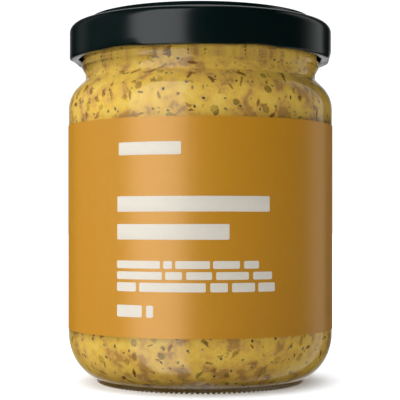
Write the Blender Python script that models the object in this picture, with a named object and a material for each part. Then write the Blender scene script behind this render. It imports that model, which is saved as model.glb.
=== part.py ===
"""A shut glass jar of wholegrain mustard with a lug lid and a wrapped paper label.

Metres, +Z up. The origin is the middle of the foot, and the jar's front faces -Y.
"""
import math

import bmesh
import bpy

# Driving dimensions of the glass
BODY_RADIUS = 0.03325
WALL = 0.0025
HEEL_REACH = 0.01085          # how far the heel's curve draws in
HEEL_HEIGHT = 0.01225         # where the heel's curve meets the straight side
FOOT_OUTER = 0.0262           # bearing ring, outer and inner radius
FOOT_INNER = 0.0236
FOOT_BEVEL = 0.0003
FOOT_LIFT = 0.00045           # the heel's curve stops this far above the ground
PUSH_UP = 0.0026              # rise of the base's middle
FLOOR_MIDDLE = 0.0062         # inside floor at the axis
INNER_HEEL_REACH = 0.0085
INNER_HEEL_BOTTOM = 0.0042
INNER_HEEL_HEIGHT = 0.0100
SHOULDER_START = 0.06825
SHOULDER_RADIUS = 0.0078
SHOULDER_SWEEP = 46.0         # degrees turned before the slope runs straight to the neck
NECK_RADIUS = 0.02904
NECK_FILLET = 0.0015
NECK_TOP = 0.0773
MOUTH_RADIUS = 0.0265
BEAD_RADIUS = 0.0300          # ring below the lid
BEAD_BOTTOM = 0.0786
BEAD_TOP = 0.0802
FINISH_RADIUS = 0.0295        # plain band that the lid covers
RIM_TOP = 0.0885
RIM_ROUND = 0.0009

# Driving dimensions of the lid
LID_RADIUS = 0.0330
LID_BOTTOM = 0.0805
LID_TOP = 0.09115
SHEET = 0.0006
PANEL_RADIUS = 0.02895        # raised middle of the top
PANEL_ROUND = 0.0004
PANEL_STEP_RADIUS = 0.0245
PANEL_STEP = 0.0003
BUTTON_RADIUS = 0.0110        # vacuum button in the middle
BUTTON_DROP = 0.0005
LEDGE_HEIGHT = 0.0893         # ring between the panel and the shoulder
LEDGE_OUTER = 0.0304
LID_SHOULDER = 0.0022
LID_SHOULDER_TOP = 0.08965
CURL_INNER = 0.0306           # inner face of the rolled lower edge
CURL_ROUND = 0.0007
CURL_TOP = 0.0820
SKIRT_INNER = 0.0323
LINER = 0.0888                # sealing face above the rim
LUG_ANGLES = [-155, -95, -35, 25, 85, 145]    # degrees from the front towards +X
LUG_FLAT = 2.5                # degrees each side of a lug's middle that are fully pressed
LUG_END = 12.5                # degrees each side where the press has faded out
LUG_RISE = 0.0008
LUG_TUCK = 0.0009

# Driving dimensions of the mustard and the label
CLEARANCE = 0.0003
MUSTARD_TOP = 0.0830
LABEL_BOTTOM = 0.0135
LABEL_TOP = 0.0641
LABEL_THICKNESS = 0.0002
LABEL_OPEN_STEPS = 3          # turning steps left open at the back

# Number of flat sides round each turned piece
SIDES = 72
POLE_MERGE = 0.000001


def make_material(name, colour, roughness, metallic=0.0, transmission=0.0):
    """Principled material with the finish seen in daylight."""
    material = bpy.data.materials.new(name)
    material.use_nodes = True
    shader = material.node_tree.nodes["Principled BSDF"]
    shader.inputs["Base Color"].default_value = (*colour, 1.0)
    shader.inputs["Roughness"].default_value = roughness
    shader.inputs["Metallic"].default_value = metallic
    shader.inputs["Transmission Weight"].default_value = transmission
    return material


def arc(centre, radii, start, end, steps):
    """Points (r, z) on an ellipse from one angle to another, in degrees from +r."""
    angles = [math.radians(start + (end - start) * i / steps) for i in range(steps + 1)]
    return [(centre[0] + radii[0] * math.cos(a), centre[1] + radii[1] * math.sin(a)) for a in angles]


def spin(profile, first_step=0, step_count=SIDES):
    """Turns (r, z) points round the Z axis; a part turn gets flat ends."""
    mesh = bmesh.new()
    start = math.tau * first_step / SIDES
    verts = [mesh.verts.new((r * math.cos(start), r * math.sin(start), z)) for r, z in profile]
    edges = [mesh.edges.new(pair) for pair in zip(verts, verts[1:])]
    whole = step_count == SIDES
    if profile[0][0] > 0:
        edges.append(mesh.edges.new((verts[-1], verts[0])))
    bmesh.ops.spin(
        mesh, geom=verts + edges, axis=(0, 0, 1), cent=(0, 0, 0),
        angle=math.tau * step_count / SIDES, steps=step_count, use_merge=whole,
    )
    bmesh.ops.remove_doubles(mesh, verts=mesh.verts[:], dist=POLE_MERGE)
    if not whole:
        bmesh.ops.holes_fill(mesh, edges=[e for e in mesh.edges if e.is_boundary], sides=0)
    bmesh.ops.recalc_face_normals(mesh, faces=mesh.faces[:])
    return mesh


def finish_object(mesh, name, material, sharp_angle):
    """Puts the mesh into a smooth-shaded object whose real edges stay sharp."""
    data = bpy.data.meshes.new(name)
    mesh.to_mesh(data)
    mesh.free()
    data.materials.append(material)
    data.shade_smooth()
    data.set_sharp_from_angle(angle=math.radians(sharp_angle))
    part = bpy.data.objects.new(name, data)
    bpy.context.scene.collection.objects.link(part)
    return part


def glass_outer_side():
    """Outer side of the glass from the rim down to the middle of the base."""
    sweep = math.radians(SHOULDER_SWEEP)
    bend = (BODY_RADIUS - SHOULDER_RADIUS, SHOULDER_START)
    bend_top = (bend[0] + SHOULDER_RADIUS * math.cos(sweep), bend[1] + SHOULDER_RADIUS * math.sin(sweep))
    fillet_low_r = NECK_RADIUS + NECK_FILLET * (1 - math.cos(sweep))
    fillet_low_z = bend_top[1] + (bend_top[0] - fillet_low_r) / math.tan(sweep)
    fillet = (NECK_RADIUS + NECK_FILLET, fillet_low_z + NECK_FILLET * math.sin(sweep))
    foot_edge = math.degrees(math.acos((FOOT_OUTER - BODY_RADIUS + HEEL_REACH) / HEEL_REACH))

    side = arc((FINISH_RADIUS - RIM_ROUND, RIM_TOP - RIM_ROUND), (RIM_ROUND, RIM_ROUND), 90, 0, 2)
    side += [(FINISH_RADIUS, BEAD_TOP + 0.0005)]
    side += [(BEAD_RADIUS, BEAD_TOP), (BEAD_RADIUS, BEAD_BOTTOM)]
    side += [(BEAD_RADIUS - 0.0003, BEAD_BOTTOM - 0.0005), (NECK_RADIUS + 0.0003, NECK_TOP + 0.0004)]
    side += [(NECK_RADIUS, NECK_TOP)]
    side += arc(fillet, (NECK_FILLET, NECK_FILLET), 180, 180 + SHOULDER_SWEEP, 3)
    side += arc(bend, (SHOULDER_RADIUS, SHOULDER_RADIUS), SHOULDER_SWEEP, 0, 6)
    heel = (BODY_RADIUS - HEEL_REACH, HEEL_HEIGHT)
    side += arc(heel, (HEEL_REACH, HEEL_HEIGHT - FOOT_LIFT * 0.5), 0, -foot_edge, 7)
    side += [(FOOT_OUTER - FOOT_BEVEL, 0.0), (FOOT_INNER + FOOT_BEVEL, 0.0)]
    side += [(FOOT_INNER, FOOT_LIFT), (FOOT_INNER * 0.6, PUSH_UP * 0.75), (0.0, PUSH_UP)]
    return side


def glass_inner_side(gap=0.0):
    """Inner side of the glass from the middle of the floor up to the mouth, set in by a gap."""
    sweep = math.radians(SHOULDER_SWEEP)
    wall = BODY_RADIUS - WALL - gap
    bend_radius = SHOULDER_RADIUS - WALL - gap
    bend = (BODY_RADIUS - SHOULDER_RADIUS, SHOULDER_START)
    bend_top = (bend[0] + bend_radius * math.cos(sweep), bend[1] + bend_radius * math.sin(sweep))
    neck = MOUTH_RADIUS - gap
    neck_low = bend_top[1] + (bend_top[0] - neck) / math.tan(sweep)
    floor_edge = wall - INNER_HEEL_REACH
    heel = (floor_edge, INNER_HEEL_BOTTOM + gap + INNER_HEEL_HEIGHT)
    side = [(0.0, FLOOR_MIDDLE + gap), (floor_edge * 0.6, FLOOR_MIDDLE + gap - 0.0006)]
    side += arc(heel, (INNER_HEEL_REACH, INNER_HEEL_HEIGHT), -90, 0, 4)
    side += arc(bend, (bend_radius, bend_radius), 0, SHOULDER_SWEEP, 3)
    side += [(neck, neck_low)]
    return side


def make_glass(material):
    profile = glass_inner_side() + [(MOUTH_RADIUS, RIM_TOP - RIM_ROUND)]
    profile += [(MOUTH_RADIUS + RIM_ROUND * 0.3, RIM_TOP - RIM_ROUND * 0.3)]
    profile += [(MOUTH_RADIUS + RIM_ROUND, RIM_TOP)] + glass_outer_side()
    return finish_object(spin(profile), "glass_jar", material, 50)


def make_mustard(material):
    neck = MOUTH_RADIUS - CLEARANCE
    profile = glass_inner_side(CLEARANCE) + [(neck, MUSTARD_TOP), (0.0, MUSTARD_TOP)]
    return finish_object(spin(profile), "mustard", material, 40)


def make_label(material):
    inner = BODY_RADIUS + CLEARANCE
    outer = inner + LABEL_THICKNESS
    section = [(outer, LABEL_TOP), (outer, LABEL_BOTTOM), (inner, LABEL_BOTTOM), (inner, LABEL_TOP)]
    back_step = SIDES // 4
    first = back_step + LABEL_OPEN_STEPS - LABEL_OPEN_STEPS // 2
    return finish_object(spin(section, first, SIDES - LABEL_OPEN_STEPS), "label", material, 40)


def lid_profile():
    """Lid from the middle of the inside, out and down the inside, and back over the top."""
    under = LID_TOP - SHEET
    inside = [(0.0, under - BUTTON_DROP), (PANEL_RADIUS - 2 * SHEET, under - BUTTON_DROP)]
    inside += [(PANEL_RADIUS - SHEET, LINER), (LID_RADIUS - LID_SHOULDER, LINER)]
    inside += [(SKIRT_INNER, LINER - 0.0012), (SKIRT_INNER, CURL_TOP + 0.0006)]
    inside += [(CURL_INNER + CURL_ROUND, CURL_TOP), (CURL_INNER, CURL_TOP - CURL_ROUND)]
    inner_low = (CURL_INNER + CURL_ROUND, LID_BOTTOM + CURL_ROUND)
    outer_low = (LID_RADIUS - CURL_ROUND, LID_BOTTOM + CURL_ROUND)
    curl = arc(inner_low, (CURL_ROUND, CURL_ROUND), 180, 270, 2)
    curl += arc(outer_low, (CURL_ROUND, CURL_ROUND), 270, 360, 2)
    shoulder = (LID_RADIUS - LID_SHOULDER, LID_SHOULDER_TOP - LID_SHOULDER)
    outside = [(LID_RADIUS, CURL_TOP + CURL_ROUND)]
    outside += arc(shoulder, (LID_SHOULDER, LID_SHOULDER), 0, 90, 4)
    outside += [(LEDGE_OUTER, LEDGE_HEIGHT), (PANEL_RADIUS + 0.0001, LEDGE_HEIGHT)]
    panel_edge = (PANEL_RADIUS - PANEL_ROUND, LID_TOP - PANEL_ROUND)
    outside += arc(panel_edge, (PANEL_ROUND, PANEL_ROUND), 0, 90, 2)
    outside += [(PANEL_STEP_RADIUS, LID_TOP), (PANEL_STEP_RADIUS - PANEL_STEP, LID_TOP - PANEL_STEP)]
    outside += [(BUTTON_RADIUS, LID_TOP - PANEL_STEP), (BUTTON_RADIUS - 0.0008, LID_TOP - BUTTON_DROP)]
    outside += [(0.0, LID_TOP - BUTTON_DROP)]
    return inside + curl + outside


def press_lugs(mesh):
    """Tucks the rolled edge in and up at each lug, fading out at the top of the roll."""
    top = CURL_TOP + CURL_ROUND
    for vert in mesh.verts:
        radius = math.hypot(vert.co.x, vert.co.y)
        if vert.co.z > top or radius < CURL_INNER - POLE_MERGE:
            continue
        angle = math.degrees(math.atan2(vert.co.x, -vert.co.y))
        nearest = min(abs((angle - lug + 180) % 360 - 180) for lug in LUG_ANGLES)
        fade = min(1.0, max(0.0, (nearest - LUG_FLAT) / (LUG_END - LUG_FLAT)))
        press = (0.5 + 0.5 * math.cos(math.pi * fade)) * (top - vert.co.z) / (top - LID_BOTTOM)
        outward = (radius - CURL_INNER) / (LID_RADIUS - CURL_INNER)
        tucked = radius - press * LUG_TUCK * (0.35 + 0.65 * outward)
        vert.co.x *= tucked / radius
        vert.co.y *= tucked / radius
        vert.co.z += press * LUG_RISE


def make_lid(material):
    mesh = spin(lid_profile())
    press_lugs(mesh)
    return finish_object(mesh, "lid", material, 35)


def main():
    for old in list(bpy.data.objects):
        bpy.data.objects.remove(old)
    clear_glass = make_material("clear_glass", (0.93, 0.95, 0.94), 0.03, transmission=1.0)
    grainy_mustard = make_material("grainy_mustard", (0.62, 0.40, 0.09), 0.45)
    ochre_paper = make_material("ochre_paper", (0.56, 0.29, 0.035), 0.55)
    dark_lacquer = make_material("dark_lacquer", (0.004, 0.012, 0.011), 0.15)
    make_glass(clear_glass)
    make_mustard(grainy_mustard)
    make_label(ochre_paper)
    make_lid(dark_lacquer)


main()
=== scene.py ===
"""Looks of the shut mustard jar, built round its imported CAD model.

Metres, +Z up. The jar stands on z = 0, its axis is the Z axis, and its front faces -Y.
"""

import math

import bpy
import numpy as np
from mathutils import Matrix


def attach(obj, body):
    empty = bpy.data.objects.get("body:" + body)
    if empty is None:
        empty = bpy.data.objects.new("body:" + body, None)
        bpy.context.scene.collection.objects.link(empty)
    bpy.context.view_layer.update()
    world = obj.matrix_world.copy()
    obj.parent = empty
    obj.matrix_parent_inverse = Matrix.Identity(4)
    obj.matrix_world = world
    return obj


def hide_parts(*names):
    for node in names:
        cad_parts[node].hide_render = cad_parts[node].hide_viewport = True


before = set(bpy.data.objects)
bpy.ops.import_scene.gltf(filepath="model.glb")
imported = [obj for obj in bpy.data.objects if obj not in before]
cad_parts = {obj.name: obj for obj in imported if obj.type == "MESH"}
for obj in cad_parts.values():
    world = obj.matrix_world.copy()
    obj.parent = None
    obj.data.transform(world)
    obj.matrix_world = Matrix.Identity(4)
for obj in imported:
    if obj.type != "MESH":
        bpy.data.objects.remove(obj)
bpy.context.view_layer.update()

# The jar: one piece of clear soda-lime glass, blown in a mould. It stands on a ring of fine knurling round
# a pushed-up base, and its neck has a bead under the plain band that the lid closes on.
BODY_RADIUS = 0.03325
WALL = 0.0025
HEEL_REACH = 0.01085
HEEL_HEIGHT = 0.01225
FOOT_OUTER = 0.0262
FOOT_INNER = 0.0236
FOOT_LIFT = 0.00045
PUSH_UP = 0.0026
FLOOR_MIDDLE = 0.0062
INNER_HEEL_REACH = 0.0085
INNER_HEEL_BOTTOM = 0.0042
INNER_HEEL_HEIGHT = 0.0100
SHOULDER_START = 0.06825
SHOULDER_RADIUS = 0.0078
SHOULDER_SWEEP = 46.0
NECK_RADIUS = 0.02904
NECK_FILLET = 0.0015
NECK_TOP = 0.0773
MOUTH_RADIUS = 0.0265
NECK_INSIDE = 0.0800          # a height well up the straight inner side of the neck
BEAD_RADIUS = 0.0300
BEAD_LOW = 0.0786
BEAD_HIGH = 0.0802
BEAD_ROUND = 0.00045
FINISH_RADIUS = 0.0295
RIM_TOP = 0.0885
RIM_ROUND = 0.0009
KNURLS = 130
KNURL_COLUMNS = 6
KNURL_DEPTH = 0.0004
KNURL_FADE = 0.0012           # height at which the grooves have run out


def arc(centre, radii, start, end, count):
    """Points (r, z) on an ellipse: centre plus radii times the cosine and sine of angles in degrees."""
    turn = np.radians(np.linspace(start, end, count))
    return np.column_stack((centre[0] + radii[0] * np.cos(turn), centre[1] + radii[1] * np.sin(turn)))


def jar_inside(gap=0.0, fine=2):
    """Inner side from the floor's middle to the neck; a gap moves it inwards, and below 0 into the wall."""
    sweep = math.radians(SHOULDER_SWEEP)
    wall = BODY_RADIUS - WALL - gap
    bend_radius = SHOULDER_RADIUS - WALL - gap
    bend = (BODY_RADIUS - SHOULDER_RADIUS, SHOULDER_START)
    bend_top = (bend[0] + bend_radius * math.cos(sweep), bend[1] + bend_radius * math.sin(sweep))
    neck = MOUTH_RADIUS - gap
    neck_low = bend_top[1] + (bend_top[0] - neck) / math.tan(sweep)
    floor_edge = wall - INNER_HEEL_REACH
    floor_r = np.linspace(0.04, 0.94, 4 * fine) * floor_edge
    rise = (FLOOR_MIDDLE - INNER_HEEL_BOTTOM) * (1 - (floor_r / floor_edge) ** 2)
    dish = np.column_stack((floor_r, INNER_HEEL_BOTTOM + gap + rise))
    heel = (floor_edge, INNER_HEEL_BOTTOM + gap + INNER_HEEL_HEIGHT)
    side = [dish, arc(heel, (INNER_HEEL_REACH, INNER_HEEL_HEIGHT), -90, 0, 7 * fine)]
    side += [[(wall, heel[1] + 0.0005), (wall, 0.04), (wall, SHOULDER_START - 0.0005)]]
    side += [arc(bend, (bend_radius, bend_radius), 0, SHOULDER_SWEEP, 5 * fine)]
    side += [[(neck + 0.0002, neck_low - 0.0002), (neck, neck_low + 0.0003)]]
    return np.vstack(side)


def jar_outside():
    """Outer side from the rim's crown down over bead, neck, shoulder, heel and foot to the base's middle."""
    sweep = math.radians(SHOULDER_SWEEP)
    bend = (BODY_RADIUS - SHOULDER_RADIUS, SHOULDER_START)
    bend_top = (bend[0] + SHOULDER_RADIUS * math.cos(sweep), bend[1] + SHOULDER_RADIUS * math.sin(sweep))
    fillet_low_r = NECK_RADIUS + NECK_FILLET * (1 - math.cos(sweep))
    fillet_low_z = bend_top[1] + (bend_top[0] - fillet_low_r) / math.tan(sweep)
    fillet = (NECK_RADIUS + NECK_FILLET, fillet_low_z + NECK_FILLET * math.sin(sweep))
    bead_r = BEAD_RADIUS - BEAD_ROUND
    heel = (BODY_RADIUS - HEEL_REACH, HEEL_HEIGHT)
    foot_edge = math.degrees(math.acos((FOOT_OUTER - heel[0]) / HEEL_REACH))
    side = [arc((FINISH_RADIUS - RIM_ROUND, RIM_TOP - RIM_ROUND), (RIM_ROUND, RIM_ROUND), 90, 0, 6)]
    side += [[(FINISH_RADIUS, BEAD_HIGH + 0.0010), (FINISH_RADIUS + 0.00008, BEAD_HIGH + 0.0003)]]
    side += [arc((bead_r, BEAD_HIGH - BEAD_ROUND), (BEAD_ROUND, BEAD_ROUND), 80, 0, 6)]
    side += [arc((bead_r, BEAD_LOW + BEAD_ROUND), (BEAD_ROUND, BEAD_ROUND), 0, -50, 5)]
    side += [[(NECK_RADIUS + 0.0003, NECK_TOP + 0.0004), (NECK_RADIUS + 0.00008, NECK_TOP + 0.0001)]]
    side += [[(NECK_RADIUS, NECK_TOP - 0.0003)]]
    side += [arc(fillet, (NECK_FILLET, NECK_FILLET), 180, 180 + SHOULDER_SWEEP, 8)]
    side += [arc(bend, (SHOULDER_RADIUS, SHOULDER_RADIUS), SHOULDER_SWEEP, 0, 14)]
    side += [[(BODY_RADIUS, SHOULDER_START - 0.0005), (BODY_RADIUS, 0.04)]]
    side += [[(BODY_RADIUS, HEEL_HEIGHT + 0.0005)]]
    side += [arc(heel, (HEEL_REACH, HEEL_HEIGHT - FOOT_LIFT * 0.5), 0, -foot_edge, 20)]
    side += [[(FOOT_OUTER - 0.00012, 0.00010), (FOOT_OUTER - 0.0003, 0.0), (FOOT_OUTER - 0.0010, 0.0)]]
    side += [[(FOOT_INNER + 0.0009, 0.0), (FOOT_INNER + 0.0003, 0.0), (FOOT_INNER + 0.0001, 0.0001)]]
    side += [[(FOOT_INNER, FOOT_LIFT), (FOOT_INNER * 0.95, FOOT_LIFT * 1.8)]]
    base_r = np.linspace(0.85, 0.03, 8) * FOOT_INNER
    side += [np.column_stack((base_r, PUSH_UP - (PUSH_UP - FOOT_LIFT) * (base_r / FOOT_INNER) ** 2))]
    return np.vstack(side)


def turned(profile, columns):
    """Grid of points (1, rows, columns, 3): each profile point (r, z) carried round the Z axis."""
    turn = np.linspace(0, math.tau, columns, endpoint=False)
    r, z = profile[:, :1], profile[:, 1:]
    return np.stack((r * np.cos(turn), r * np.sin(turn), z + 0 * turn), axis=-1)[None]


def skin(name, grid, material, body="root", sharp=None, **shades):
    """Closed surfaces over a grid (shapes, rows, columns, 3): each row is a ring, quads join the rings, and a
    fan to its mean point shuts the first and the last. Shades are one number for each point of the grid."""
    shapes, rows, columns, _ = grid.shape
    ends = grid[:, [0, -1]].mean(axis=2)
    points = np.concatenate((grid.reshape(-1, 3), ends.reshape(-1, 3)))
    index = np.arange(shapes * rows * columns).reshape(shapes, rows, columns)
    tips = (shapes * rows * columns + np.arange(shapes * 2)).reshape(shapes, 2, 1)
    after = np.roll(index, -1, axis=2)
    quads = np.stack((index[:, :-1], after[:, :-1], after[:, 1:], index[:, 1:]), axis=-1).reshape(-1, 4)
    first = np.stack(np.broadcast_arrays(tips[:, 0], after[:, 0], index[:, 0]), axis=-1).reshape(-1, 3)
    last = np.stack(np.broadcast_arrays(tips[:, 1], index[:, -1], after[:, -1]), axis=-1).reshape(-1, 3)
    corners = points[np.concatenate((quads[:, :3], quads[:, [0, 2, 3]], first, last))]
    volume = np.einsum("ij,ij->i", corners[:, 0], np.cross(corners[:, 1], corners[:, 2])).sum()
    step = 1 if volume > 0 else -1
    mesh = bpy.data.meshes.new(name)
    faces = [face[::step].tolist() for face in (quads.T, first.T, last.T)]
    mesh.from_pydata(points, [], [corner for part in faces for corner in zip(*part)])
    for shade, values in shades.items():
        tip_values = values[:, [0, -1]].mean(axis=2)
        layer = mesh.attributes.new(shade, "FLOAT", "POINT")
        layer.data.foreach_set("value", np.concatenate((values.ravel(), tip_values.ravel())))
    mesh.shade_smooth()
    if sharp is not None:
        mesh.set_sharp_from_angle(angle=math.radians(sharp))
    mesh.materials.append(material)
    piece = bpy.data.objects.new(name, mesh)
    bpy.context.scene.collection.objects.link(piece)
    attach(piece, body)
    return piece


def wire(tree, kind, sockets=None, **settings):
    """Adds a node, sets its settings and fills its sockets, each with a value or from another node."""
    node = tree.nodes.new("ShaderNode" + kind)
    for setting, value in settings.items():
        setattr(node, setting, value)
    for socket, value in (sockets or {}).items():
        if isinstance(value, bpy.types.Node):
            value = value.outputs[0]
        if isinstance(value, bpy.types.NodeSocket):
            tree.links.new(value, node.inputs[socket])
        else:
            node.inputs[socket].default_value = value
    return node


def new_finish(name, **values):
    """A material with one Principled shader, whose sockets are set to the values; gives both and the tree."""
    material = bpy.data.materials.new(name)
    material.use_nodes = True
    tree = material.node_tree
    shader = tree.nodes["Principled BSDF"]
    for socket, value in values.items():
        shader.inputs[socket.replace("_", " ")].default_value = value
    return material, tree, shader


def noise(tree, scale, detail=2.0, roughness=0.5, stretch=(1, 1, 1), seed=0.0):
    """Noise in the object's own coordinates, scale times a metre, stretched and moved by a seed."""
    place = wire(tree, "TexCoord")
    spaced = {"Vector": place.outputs["Object"], "Location": (seed, seed, seed), "Scale": stretch}
    look = {"Vector": wire(tree, "Mapping", spaced), "Scale": scale, "Detail": detail, "Roughness": roughness}
    return wire(tree, "TexNoise", look)


def blend(tree, amount, low, high):
    """Colour that runs from low to high as the amount goes from 0 to 1; both may be values or sockets."""
    return wire(tree, "Mix", {0: amount, 6: low, 7: high}, data_type="RGBA").outputs[2]


clear_glass, tree, shader = new_finish("clear_glass", Transmission_Weight=1.0, IOR=1.5)
streaks = noise(tree, 60, stretch=(1, 1, 0.4))
tint = blend(tree, streaks, (0.975, 0.985, 0.98, 1), (0.99, 0.995, 0.99, 1))
polish = wire(tree, "MapRange", {"Value": noise(tree, 220), "To Min": 0.0, "To Max": 0.02})
ripple = wire(tree, "Bump", {"Strength": 0.15, "Distance": 0.0001, "Height": streaks})
tree.links.new(tint, shader.inputs["Base Color"])
tree.links.new(polish.outputs[0], shader.inputs["Roughness"])
tree.links.new(ripple.outputs[0], shader.inputs["Normal"])
path = wire(tree, "LightPath")
gap = wire(tree, "BsdfTransparent")
lamps_through = wire(tree, "MixShader", {0: path.outputs["Is Shadow Ray"], 1: shader, 2: gap})
day_through = wire(tree, "MixShader", {0: path.outputs["Is Diffuse Ray"], 1: lamps_through, 2: gap})
tree.links.new(day_through.outputs[0], tree.nodes["Material Output"].inputs["Surface"])

mouth = [(MOUTH_RADIUS, NECK_INSIDE), (MOUTH_RADIUS, RIM_TOP - RIM_ROUND)]
rim = arc((MOUTH_RADIUS + RIM_ROUND, RIM_TOP - RIM_ROUND), (RIM_ROUND, RIM_ROUND), 170, 100, 4)
mouth = np.vstack((mouth, rim))
jar = turned(np.vstack((jar_inside(), mouth, jar_outside())), KNURLS * KNURL_COLUMNS)
turn = np.arctan2(jar[..., 1], jar[..., 0])
radius = np.hypot(jar[..., 0], jar[..., 1])
height = jar[..., 2]
groove = (0.5 - 0.5 * np.cos(KNURLS * turn)) ** 1.5
low = np.clip(1 - height / KNURL_FADE, 0, 1) * (radius > FOOT_INNER * 0.97)
jar[..., 2] = height + KNURL_DEPTH * groove * low
jar_piece = skin("jar_of_glass", jar, clear_glass)
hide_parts("glass_jar")

# The mustard: a moist yellow paste of crushed seed, filled in up to the neck. It wets the glass, so its
# surface is pressed a little into the wall and shows no air gap.
MUSTARD_TOP = 0.0830
PRESS = 0.00008


def paste_colour(tree):
    """Colour of the paste: yellow and tan clouds of a few millimetres, with fine crushed grain in them."""
    clouds = noise(tree, 250, 3.5, 0.6)
    light = wire(tree, "ValToRGB", {0: clouds})
    stops = [(0.37, (0.58, 0.31, 0.075)), (0.44, (0.82, 0.49, 0.10))]
    stops += [(0.54, (0.94, 0.60, 0.09)), (0.68, (0.97, 0.68, 0.13))]
    ramp = light.color_ramp
    ramp.elements[0].position, ramp.elements[1].position = stops[0][0], stops[-1][0]
    ramp.elements[0].color, ramp.elements[1].color = (*stops[0][1], 1), (*stops[-1][1], 1)
    for position, colour in stops[1:-1]:
        ramp.elements.new(position).color = (*colour, 1)
    grain = wire(tree, "MapRange", {"Value": noise(tree, 1500, 2.0, 0.6, seed=3.0), 1: 0.62, 2: 0.72, 4: 0.5})
    return blend(tree, grain, light, (0.45, 0.26, 0.06, 1))


grainy_mustard, tree, shader = new_finish("grainy_mustard", Roughness=0.55, Specular_IOR_Level=0.2)
tree.links.new(paste_colour(tree), shader.inputs["Base Color"])
lumps = wire(tree, "Bump", {"Strength": 0.4, "Distance": 0.0002, "Height": noise(tree, 900, 3.0)})
tree.links.new(lumps.outputs[0], shader.inputs["Normal"])

paste_side = jar_inside(-PRESS, 4)
heap_r = np.linspace(0.97, 0.03, 12) * (MOUTH_RADIUS + PRESS)
heap = np.column_stack((heap_r, MUSTARD_TOP - 0.0004 * (1 - np.cos(14 * heap_r / MOUTH_RADIUS))))
neck_side = [(MOUTH_RADIUS + PRESS, NECK_INSIDE), (MOUTH_RADIUS + PRESS, MUSTARD_TOP - 0.0004)]
paste_side = np.vstack((paste_side, neck_side))
paste_piece = skin("mustard_paste", turned(np.vstack((paste_side, heap)), 360), grainy_mustard)
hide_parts("mustard")

# The bits in the mustard: torn flakes of bran, crushed seeds with a pale husk round a dark kernel, and soft
# whole seeds. They lie against the glass, only where the label leaves them in sight.
SIGHT_LOW = 0.0175            # above the label's lower edge
SIGHT_HIGH = 0.0605           # below its upper edge
BACK_GAP = (79.0, 106.0)      # degrees from +X, a little wider than the gap between the label's ends
BASE_SIGHT = 0.014
BITS_TOP = 0.0828
side_run = np.concatenate(([0], np.cumsum(np.hypot(*np.diff(paste_side, axis=0).T))))
rising = np.arange(len(side_run)) >= np.argmin(paste_side[:, 1])


def on_paste(angle, run, lift):
    """Points on the paste, at an angle round the axis and a run along its profile, lifted off outwards."""
    ahead = [np.interp(run + 0.0002, side_run, paste_side[:, axis]) for axis in (0, 1)]
    behind = [np.interp(run - 0.0002, side_run, paste_side[:, axis]) for axis in (0, 1)]
    length = np.hypot(ahead[0] - behind[0], ahead[1] - behind[1])
    r = np.interp(run, side_run, paste_side[:, 0]) + lift * (ahead[1] - behind[1]) / length
    z = np.interp(run, side_run, paste_side[:, 1]) - lift * (ahead[0] - behind[0]) / length
    return np.stack((r * np.cos(angle), r * np.sin(angle), z), axis=-1)


def spread(per_area, draw):
    """Angles and runs in sight, one drawn in each cell of an even net; a quarter of the cells stay empty."""
    cell = 1 / math.sqrt(per_area)
    rings = np.arange(cell / 2, side_run[-1], cell)
    ring_radius = np.interp(rings, side_run, paste_side[:, 0])
    cells = np.maximum(1, (math.tau * ring_radius / cell).astype(int))
    run = np.repeat(rings, cells)
    angle = np.concatenate([np.linspace(0, math.tau, count, endpoint=False) for count in cells])
    run = run + draw.uniform(-0.5, 0.5, run.size) * cell
    angle = (angle + draw.uniform(-0.5, 0.5, run.size) * cell / np.repeat(ring_radius, cells)) % math.tau
    r, z = (np.interp(run, side_run, paste_side[:, axis]) for axis in (0, 1))
    at_back = (np.degrees(angle) > BACK_GAP[0]) & (np.degrees(angle) < BACK_GAP[1])
    seen = (r > BASE_SIGHT) & (z < BITS_TOP) & ((z < SIGHT_LOW) | (z > SIGHT_HIGH) | at_back)
    kept = seen & (draw.random(run.size) < 0.75)
    return angle[kept], run[kept]


def bits(places, radius, stretch, rings, draw, uneven, columns=10):
    """Flat bits at the places: rings of (share of the radius, lift) from back to front, each outline a circle
    stretched along a drawn direction and bent by three drawn waves."""
    angle, run = places
    turn = np.arange(columns) * math.tau / columns
    heights = uneven * draw.normal(size=(len(run), 3, 1))
    starts = draw.uniform(0, math.tau, (len(run), 3, 1))
    wave = np.clip(1 + (heights * np.cos(np.array([[2], [3], [4]]) * turn + starts)).sum(axis=1), 0.45, 1.6)
    tilt = draw.uniform(0, math.pi, (len(run), 1))
    x = (radius * np.sqrt(stretch))[:, None] * wave * np.cos(turn)
    y = (radius / np.sqrt(stretch))[:, None] * wave * np.sin(turn)
    reach, lift = np.array(rings).T[:, None, :, None]
    across = (x * np.cos(tilt) - y * np.sin(tilt))[:, None] * reach
    along = (x * np.sin(tilt) + y * np.cos(tilt))[:, None] * reach
    middle = np.interp(run, side_run, paste_side[:, 0])[:, None, None]
    return on_paste(angle[:, None, None] + across / middle, run[:, None, None] + along, lift + 0 * across)


def shaded(grid, tones, strength):
    """One shade for each point: the ring's tone times the bit's own strength."""
    return np.array(tones)[None, :, None] * strength[:, None, None] * np.ones(grid.shape[:3])


def bit_finish(name, attribute, light, dark, roughness):
    """A material that runs by an attribute from a light colour, or the paste's where it is None, to a dark one."""
    material, tree, shader = new_finish(name, Roughness=roughness, Specular_IOR_Level=0.2)
    fine = noise(tree, 2600, 3.0, seed=5.0)
    shade = wire(tree, "Attribute", attribute_name=attribute)
    mottled = wire(tree, "MapRange", {"Value": fine, 1: 0.3, 2: 0.7, 3: -0.25, 4: 0.25})
    amount = wire(tree, "Math", {0: shade.outputs["Fac"], 1: mottled}, operation="ADD", use_clamp=True)
    edge_tone = paste_colour(tree) if light is None else (*light, 1)
    tree.links.new(blend(tree, amount, edge_tone, (*dark, 1)), shader.inputs["Base Color"])
    return material


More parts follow.
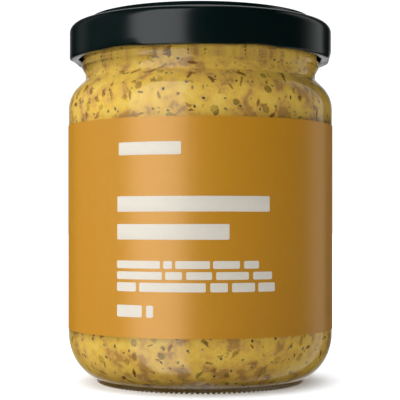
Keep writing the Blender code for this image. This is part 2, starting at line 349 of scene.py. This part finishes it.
draw = np.random.default_rng(11)
flake_rings = [(0.5, -0.00004), (1.0, -0.00001), (0.85, 0.000008), (0.6, 0.00002), (0.3, 0.000025)]
places = spread(0.08e6, draw)
count = len(places[0])
flakes = bits(places, draw.uniform(0.0003, 0.0011, count), draw.uniform(1, 3, count), flake_rings, draw, 0.2)
bran = bit_finish("bran", "tone", None, (0.20, 0.065, 0.012), 0.6)
tone = shaded(flakes, (0, 0.1, 0.6, 0.9, 1), draw.uniform(0.35, 0.95, count))
flakes_piece = skin("bran_flakes", flakes, bran, tone=tone)

SPECK_ANGLES = (-2.4, 1.3, 10.3, 33.4, 40.7, 41.6, -38.6, -51.9, -17.0, -5.3, 11.5, 18.6, 42.3, -45.4)
SPECK_HEIGHTS = (66.4, 68.3, 68.3, 66.9, 66.9, 69.1, 66.5, 65.7, 6.9, 10.7, 10.2, 8.7, 10.9, 11.2)
speck_rings = [(0.5, -0.00004), (1.0, -0.00001), (0.9, 0.000008)]
speck_rings += [(0.72, 0.000014), (0.6, 0.00002), (0.3, 0.000026)]
angle, run = spread(0.075e6, draw)
front_run = np.interp(np.array(SPECK_HEIGHTS) / 1000, paste_side[rising, 1], side_run[rising])
angle = np.concatenate((np.radians(np.array(SPECK_ANGLES) - 90), angle))
run = np.concatenate((front_run, run))
count = len(run)
radius, stretch = draw.uniform(0.00022, 0.00055, count), draw.uniform(1, 1.6, count)
specks = bits((angle, run), radius, stretch, speck_rings, draw, 0.08)
crushed_seed = bit_finish("crushed_seed", "kernel", (0.82, 0.58, 0.17), (0.075, 0.034, 0.004), 0.45)
kernel = shaded(specks, (0, 0, 0.05, 0.3, 1, 1), draw.uniform(0.6, 1, count))
specks_piece = skin("seed_specks", specks, crushed_seed, kernel=kernel)

SEED_ANGLES = (15.0, 6.4, -17.0, 12.5, 30.0)
SEED_HEIGHTS = (67.5, 65.2, 9.5, 5.6, 70.5)
seed_rings = [(0.5, -0.00004), (1.0, -0.000015), (0.9, 0.00001), (0.7, 0.000025), (0.35, 0.000035)]
angle, run = spread(0.016e6, draw)
front_run = np.interp(np.array(SEED_HEIGHTS) / 1000, paste_side[rising, 1], side_run[rising])
angle = np.concatenate((np.radians(np.array(SEED_ANGLES) - 90), angle))
run = np.concatenate((front_run, run))
count = len(run)
radius, stretch = draw.uniform(0.0007, 0.00105, count), draw.uniform(1, 1.3, count)
seeds = bits((angle, run), radius, stretch, seed_rings, draw, 0.03, 14)
seed_coat = bit_finish("seed_coat", "coat", None, (0.30, 0.185, 0.022), 0.4)
strength = np.where(np.arange(count) < len(SEED_ANGLES), 0.95, draw.uniform(0.3, 0.75, count))
coat = shaded(seeds, (0, 0.3, 0.8, 0.95, 0.85), strength)
seeds_piece = skin("whole_seeds", seeds, seed_coat, coat=coat)

# The lid: a twist-off cap pressed from tinplate under dark green gloss lacquer, its lower edge rolled and
# pinched up at six lugs, its middle a raised panel with a vacuum button.
LID_RADIUS = 0.0330
LID_BOTTOM = 0.0805
LID_TOP = 0.09115
SHEET = 0.0006
PANEL_RADIUS = 0.02895
PANEL_ROUND = 0.0004
PANEL_SLOPE = 0.0008          # how far the panel's side leans in on its way up
PANEL_STEP_RADIUS = 0.0245
PANEL_STEP = 0.0003
BUTTON_RADIUS = 0.0110
BUTTON_DROP = 0.0005
LEDGE_HEIGHT = 0.0893
LEDGE_OUTER = 0.0304
LID_SHOULDER = 0.0022
LID_SHOULDER_TOP = 0.08965
CURL_INNER = 0.0306
CURL_ROUND = 0.0007
CURL_TOP = 0.0820
SKIRT_INNER = 0.0323
LINER = 0.0888
LUG_ANGLES = (-155, -95, -35, 25, 85, 145)    # degrees from the front towards +X
LUG_FLAT = 2.5
LUG_END = 12.5
LUG_RISE = 0.0003
LUG_TUCK = 0.0005


def lid_section():
    """Points (r, z) from under the lid's middle, down the skirt's inside, round the curl and over the top."""
    under = LID_TOP - SHEET - BUTTON_DROP
    inside = [[(0.0008, under), (0.012, under)]]
    inside += [[(PANEL_RADIUS - 2.5 * SHEET, under), (PANEL_RADIUS - 2 * SHEET, under)]]
    inside += [[(PANEL_RADIUS - SHEET, LINER), (PANEL_RADIUS, LINER), (LID_RADIUS - LID_SHOULDER, LINER)]]
    inside += [arc((SKIRT_INNER - 0.0012, LINER - 0.0012), (0.0012, 0.0012), 80, 0, 5)]
    inside += [[(SKIRT_INNER, CURL_TOP + 0.0010), (SKIRT_INNER - 0.0001, CURL_TOP + 0.0004)]]
    inside += [arc((CURL_INNER + CURL_ROUND, CURL_TOP - CURL_ROUND), (CURL_ROUND, CURL_ROUND), 80, 180, 8)]
    curl = [arc((CURL_INNER + CURL_ROUND, LID_BOTTOM + CURL_ROUND), (CURL_ROUND, CURL_ROUND), 190, 260, 7)]
    curl += [arc((LID_RADIUS - CURL_ROUND, LID_BOTTOM + CURL_ROUND), (CURL_ROUND, CURL_ROUND), 280, 360, 8)]
    shoulder = (LID_RADIUS - LID_SHOULDER, LID_SHOULDER_TOP - LID_SHOULDER)
    outside = [[(LID_RADIUS, CURL_TOP + 0.0002), (LID_RADIUS, CURL_TOP + CURL_ROUND)]]
    outside += [[(LID_RADIUS, shoulder[1] - 0.0003)]]
    outside += [arc(shoulder, (LID_SHOULDER, LID_SHOULDER), 0, 90, 14)]
    outside += [[(LEDGE_OUTER + 0.0001, LEDGE_HEIGHT + 0.00012), (LEDGE_OUTER - 0.0002, LEDGE_HEIGHT)]]
    outside += [[(PANEL_RADIUS + 0.0002, LEDGE_HEIGHT), (PANEL_RADIUS + 0.00003, LEDGE_HEIGHT + 0.0001)]]
    panel_edge = (PANEL_RADIUS - PANEL_SLOPE - PANEL_ROUND, LID_TOP - PANEL_ROUND)
    outside += [arc(panel_edge, (PANEL_ROUND, PANEL_ROUND), 27, 90, 6)]
    outside += [[(PANEL_STEP_RADIUS + 0.0010, LID_TOP), (PANEL_STEP_RADIUS + 0.0001, LID_TOP)]]
    step_z, button_z = LID_TOP - PANEL_STEP, LID_TOP - BUTTON_DROP
    outside += [[(PANEL_STEP_RADIUS - 0.0001, LID_TOP - PANEL_STEP * 0.3)]]
    outside += [[(PANEL_STEP_RADIUS - 0.0002, LID_TOP - PANEL_STEP * 0.7)]]
    outside += [[(PANEL_STEP_RADIUS - 0.0004, step_z), (PANEL_STEP_RADIUS - 0.0014, step_z)]]
    outside += [[(BUTTON_RADIUS + 0.0010, step_z), (BUTTON_RADIUS + 0.0002, step_z)]]
    outside += [[(BUTTON_RADIUS - 0.0004, step_z - 0.0001), (BUTTON_RADIUS - 0.0008, button_z)]]
    outside += [[(BUTTON_RADIUS - 0.0014, button_z), (0.004, button_z), (0.0006, button_z)]]
    return np.vstack(inside + curl + outside)


dark_lacquer, tree, shader = new_finish("dark_lacquer", Roughness=0.2, Specular_IOR_Level=0.5)
cast = blend(tree, noise(tree, 90), (0.0012, 0.0075, 0.007, 1), (0.0020, 0.009, 0.0085, 1))
tree.links.new(cast, shader.inputs["Base Color"])
rub = wire(tree, "MapRange", {"Value": noise(tree, 260, 4.0), 3: 0.16, 4: 0.24})
tree.links.new(rub.outputs[0], shader.inputs["Roughness"])
peel = wire(tree, "Bump", {"Strength": 0.05, "Distance": 0.00005, "Height": noise(tree, 1400)})
tree.links.new(peel.outputs[0], shader.inputs["Normal"])

lid = turned(lid_section(), 360)
turn = np.degrees(np.arctan2(lid[..., 0], -lid[..., 1]))
radius = np.hypot(lid[..., 0], lid[..., 1])
roll_top = CURL_TOP + CURL_ROUND
away = np.abs((turn[..., None] - np.array(LUG_ANGLES) + 180) % 360 - 180).min(axis=-1)
fade = np.clip((away - LUG_FLAT) / (LUG_END - LUG_FLAT), 0, 1)
press = (0.5 + 0.5 * np.cos(np.pi * fade)) * np.clip((roll_top - lid[..., 2]) / (roll_top - LID_BOTTOM), 0, 1)
press *= radius > CURL_INNER - 0.00001
outward = (radius - CURL_INNER) / (LID_RADIUS - CURL_INNER)
lid[..., :2] *= (1 - press * LUG_TUCK * (0.35 + 0.65 * outward) / radius)[..., None]
lid[..., 2] += press * LUG_RISE
lid_piece = skin("twist_lid", lid, dark_lacquer)
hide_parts("lid")

# The label: satin coated paper, printed ochre and glued round the jar, with its two ends a finger's
# breadth apart at the back.
LABEL_BOTTOM = 0.0135
LABEL_TOP = 0.0641
LABEL_INNER = 0.03327
LABEL_OUTER = 0.03337
LABEL_START = 100.0           # degrees from +X, round the front to the other end
LABEL_END = 445.0

ochre_paper, tree, shader = new_finish("ochre_paper", Roughness=0.33, Specular_IOR_Level=0.95, Metallic=0.07)
fibre = noise(tree, 700, 4.0, stretch=(1, 1, 0.5))
ochre = blend(tree, fibre, (0.70, 0.305, 0.004, 1), (0.74, 0.335, 0.006, 1))
printed = wire(tree, "Attribute", attribute_name="printed")
face = blend(tree, printed.outputs["Fac"], (0.80, 0.77, 0.70, 1), ochre)
tree.links.new(face, shader.inputs["Base Color"])
sheen = wire(tree, "MapRange", {"Value": fibre, 3: 0.30, 4: 0.36})
tree.links.new(sheen.outputs[0], shader.inputs["Roughness"])
tooth = wire(tree, "Bump", {"Strength": 0.05, "Distance": 0.00003, "Height": noise(tree, 3000)})
tree.links.new(tooth.outputs[0], shader.inputs["Normal"])

turn = np.radians(np.linspace(LABEL_START, LABEL_END, 346))
edge_r = np.array([LABEL_INNER, LABEL_OUTER, LABEL_OUTER, LABEL_OUTER, LABEL_INNER, LABEL_INNER])
edge_z = np.array([LABEL_BOTTOM, LABEL_BOTTOM, 0.04, LABEL_TOP, LABEL_TOP, 0.04])
across, along = np.outer(np.cos(turn), edge_r), np.outer(np.sin(turn), edge_r)
label = np.stack((across, along, np.tile(edge_z, (len(turn), 1))), axis=-1)[None]
inked = np.broadcast_to(np.array([0.0, 1.0, 1.0, 1.0, 0.0, 0.0]), label.shape[:3])
label_piece = skin("wrap_label", label, ochre_paper, sharp=40, printed=np.ascontiguousarray(inked))
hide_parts("label")

# The print on the label: off-white ink in plain rounded bars, where a heading, a title and lines of small
# words would stand.
INK_INNER = 0.03336
INK_OUTER = 0.033385
INK_CORNER = 0.0004
# Each bar has the degrees from the front at its two ends, and its top and bottom in millimetres.
heading = [(-34.5, -7.5, 58.4, 55.4), (-35.3, 28.7, 46.0, 42.4), (-35.3, 11.6, 39.6, 36.0)]
first_line = [(-35.3, -15.9), (-14.7, -11.1), (-9.9, 3.8), (4.9, 15.7), (17.3, 23.7)]
second_line = [(-35.3, -15.1), (-13.9, -7.1), (-5.6, 4.6), (6.1, 19.4), (21.1, 29.6)]
third_line = [(-35.3, -26.2), (-24.9, 2.2), (3.8, 10.8), (12.4, 22.0), (23.3, 30.9)]
foot_line = [(-35.3, -23.6), (-21.8, -18.8)]
bars = heading + [(*ends, 31.2, 29.4) for ends in first_line] + [(*ends, 28.7, 26.9) for ends in second_line]
bars += [(*ends, 26.2, 24.1) for ends in third_line] + [(*ends, 21.0, 18.2) for ends in foot_line]
starts, stops, tops, bottoms = np.array(bars).T[:, :, None]
along = 0.5 - 0.5 * np.cos(np.linspace(0.12, math.pi - 0.12, 28))
bar_turn = np.radians(starts + (stops - starts) * along)
from_end = np.minimum(bar_turn - np.radians(starts), np.radians(stops) - bar_turn) * INK_OUTER
corner = np.clip(1 - from_end / INK_CORNER, 0, 1)
half = (tops - bottoms) / 2000 - INK_CORNER * (1 - np.sqrt(1 - corner ** 2))
middle = (tops + bottoms) / 2000 + 0 * half
loop_height = np.array([-1, -0.98, 0, 0.98, 1, 0])
loop_radius = np.array([INK_INNER, INK_OUTER, INK_OUTER, INK_OUTER, INK_INNER, INK_INNER])
ink = np.stack((
    loop_radius * np.sin(bar_turn)[..., None],
    -loop_radius * np.cos(bar_turn)[..., None],
    middle[..., None] + loop_height * half[..., None],
), axis=-1)
pale_ink, tree, shader = new_finish("pale_ink", Roughness=0.36, Specular_IOR_Level=0.7)
fibre = noise(tree, 900, 3.0)
cover = blend(tree, fibre, (0.88, 0.82, 0.70, 1), (0.93, 0.88, 0.77, 1))
tree.links.new(cover, shader.inputs["Base Color"])
ink_piece = skin("label_print", ink, pale_ink, sharp=40)

# The studio: a pale floor, a white room seen by the camera, a soft window front left and a narrower one at
# the right, and soft daylight from above.
shop_floor = bpy.data.meshes.new("studio_floor")
shop_floor.from_pydata([(-5, -5, 0), (5, -5, 0), (5, 5, 0), (-5, 5, 0)], [], [(0, 1, 2, 3)])
pale_floor, tree, shader = new_finish("pale_floor", Roughness=0.9, Specular_IOR_Level=0.0)
shade = blend(tree, noise(tree, 3), (0.87, 0.90, 0.94, 1), (0.88, 0.91, 0.95, 1))
tree.links.new(shade, shader.inputs["Base Color"])
path = wire(tree, "LightPath")
dimmed = wire(tree, "BsdfDiffuse", {"Color": (0.40, 0.40, 0.40, 1)})
thrown_back = wire(tree, "MixShader", {0: path.outputs["Is Diffuse Ray"], 1: shader, 2: dimmed})
tree.links.new(thrown_back.outputs[0], tree.nodes["Material Output"].inputs["Surface"])
shop_floor.materials.append(pale_floor)
floor = bpy.data.objects.new("studio_floor", shop_floor)
bpy.context.scene.collection.objects.link(floor)
floor.visible_glossy = False

world = bpy.data.worlds.new("studio_light")
bpy.context.scene.world = world
world.use_nodes = True
tree = world.node_tree
way = wire(tree, "SeparateXYZ", {0: wire(tree, "TexCoord").outputs["Generated"]})
back = wire(tree, "Math", {0: way.outputs["Y"], 1: -1.0}, operation="MULTIPLY")
round_turn = wire(tree, "Math", {0: way.outputs["X"], 1: back}, operation="ARCTAN2")
bearing = wire(tree, "Math", {0: round_turn}, operation="DEGREES")
climb = wire(tree, "Math", {0: way.outputs["Z"]}, operation="ARCSINE")
rise = wire(tree, "Math", {0: climb}, operation="DEGREES")


def step_up(value, start, end, high=1.0):
    """Runs smoothly from 0 where the value is at start to high where it is at end."""
    sockets = {"Value": value, 1: start, 2: end, 3: 0.0, 4: high}
    return wire(tree, "MapRange", sockets, interpolation_type="SMOOTHSTEP")


def panel(left, right, top, bottom, level):
    """A soft-edged bright panel between two bearings and two heights, each a pair of degrees where it fades."""
    sides = [step_up(bearing, *left, level), step_up(bearing, *right)]
    sides += [step_up(rise, *top), step_up(rise, *bottom)]
    product = sides[0]
    for side in sides[1:]:
        product = wire(tree, "Math", {0: product, 1: side}, operation="MULTIPLY")
    return product


def total(parts):
    """Adds the parts up."""
    product = parts[0]
    for part in parts[1:]:
        product = wire(tree, "Math", {0: product, 1: part}, operation="ADD")
    return product


turned_away = wire(tree, "Math", {0: bearing}, operation="ABSOLUTE")
lights = total([
    panel((-66, -56), (-8, -18), (66, 61), (-75, -60), 2.0),
    panel((92, 128), (134, 131), (52, 48), (-75, -60), 0.6),
    panel((-140, -125), (-108, -122), (50, 40), (-75, -60), 0.13),
    step_up(turned_away, 150, 178, 0.75),
])
path = wire(tree, "LightPath")
above = wire(tree, "Math", {0: step_up(rise, -1, 0), 1: path.outputs["Is Glossy Ray"]}, operation="MAXIMUM")
lights = wire(tree, "Math", {0: lights, 1: above}, operation="MULTIPLY")
fill = total([panel((-135, -105), (-62, -76), (60, 50), (-75, -60), 1.7), step_up(rise, -200, -199, 0.08)])
haze = wire(tree, "Mix", {0: path.outputs["Is Glossy Ray"], 2: fill, 3: 0.004})
lights = total([lights, haze])
seen = wire(tree, "Mix", {0: path.outputs["Is Camera Ray"], 2: lights, 3: 1.15})
seen_through = wire(tree, "Mix", {0: path.outputs["Is Transmission Ray"], 2: seen, 3: 0.9})
ground = tree.nodes["Background"]
ground.inputs["Color"].default_value = (1, 1, 1, 1)
tree.links.new(seen_through.outputs[0], ground.inputs["Strength"])

daylight = bpy.data.lights.new("daylight", "SUN")
daylight.energy = 4.3
daylight.angle = math.radians(85)
overhead = bpy.data.objects.new("daylight", daylight)
overhead.rotation_euler = (math.radians(-5), 0, 0)
overhead.visible_glossy = False
overhead.visible_transmission = False
overhead.visible_camera = False
bpy.context.scene.collection.objects.link(overhead)
lit = bpy.data.collections.new("lit_by_daylight")
lit.objects.link(floor)
overhead.light_linking.receiver_collection = lit

lens = bpy.data.cameras.new("camera")
lens.lens = 107.28
lens.sensor_width = 36
lens.shift_x = -0.0009
lens.shift_y = 0.0610
camera = bpy.data.objects.new("camera", lens)
camera.location = (0, -0.303, 0.0395)
camera.rotation_euler = (math.radians(90), 0, 0)
bpy.context.scene.collection.objects.link(camera)
bpy.context.scene.camera = camera
bpy.context.scene.view_settings.view_transform = "Standard"
bpy.context.scene.cycles.use_denoising = True
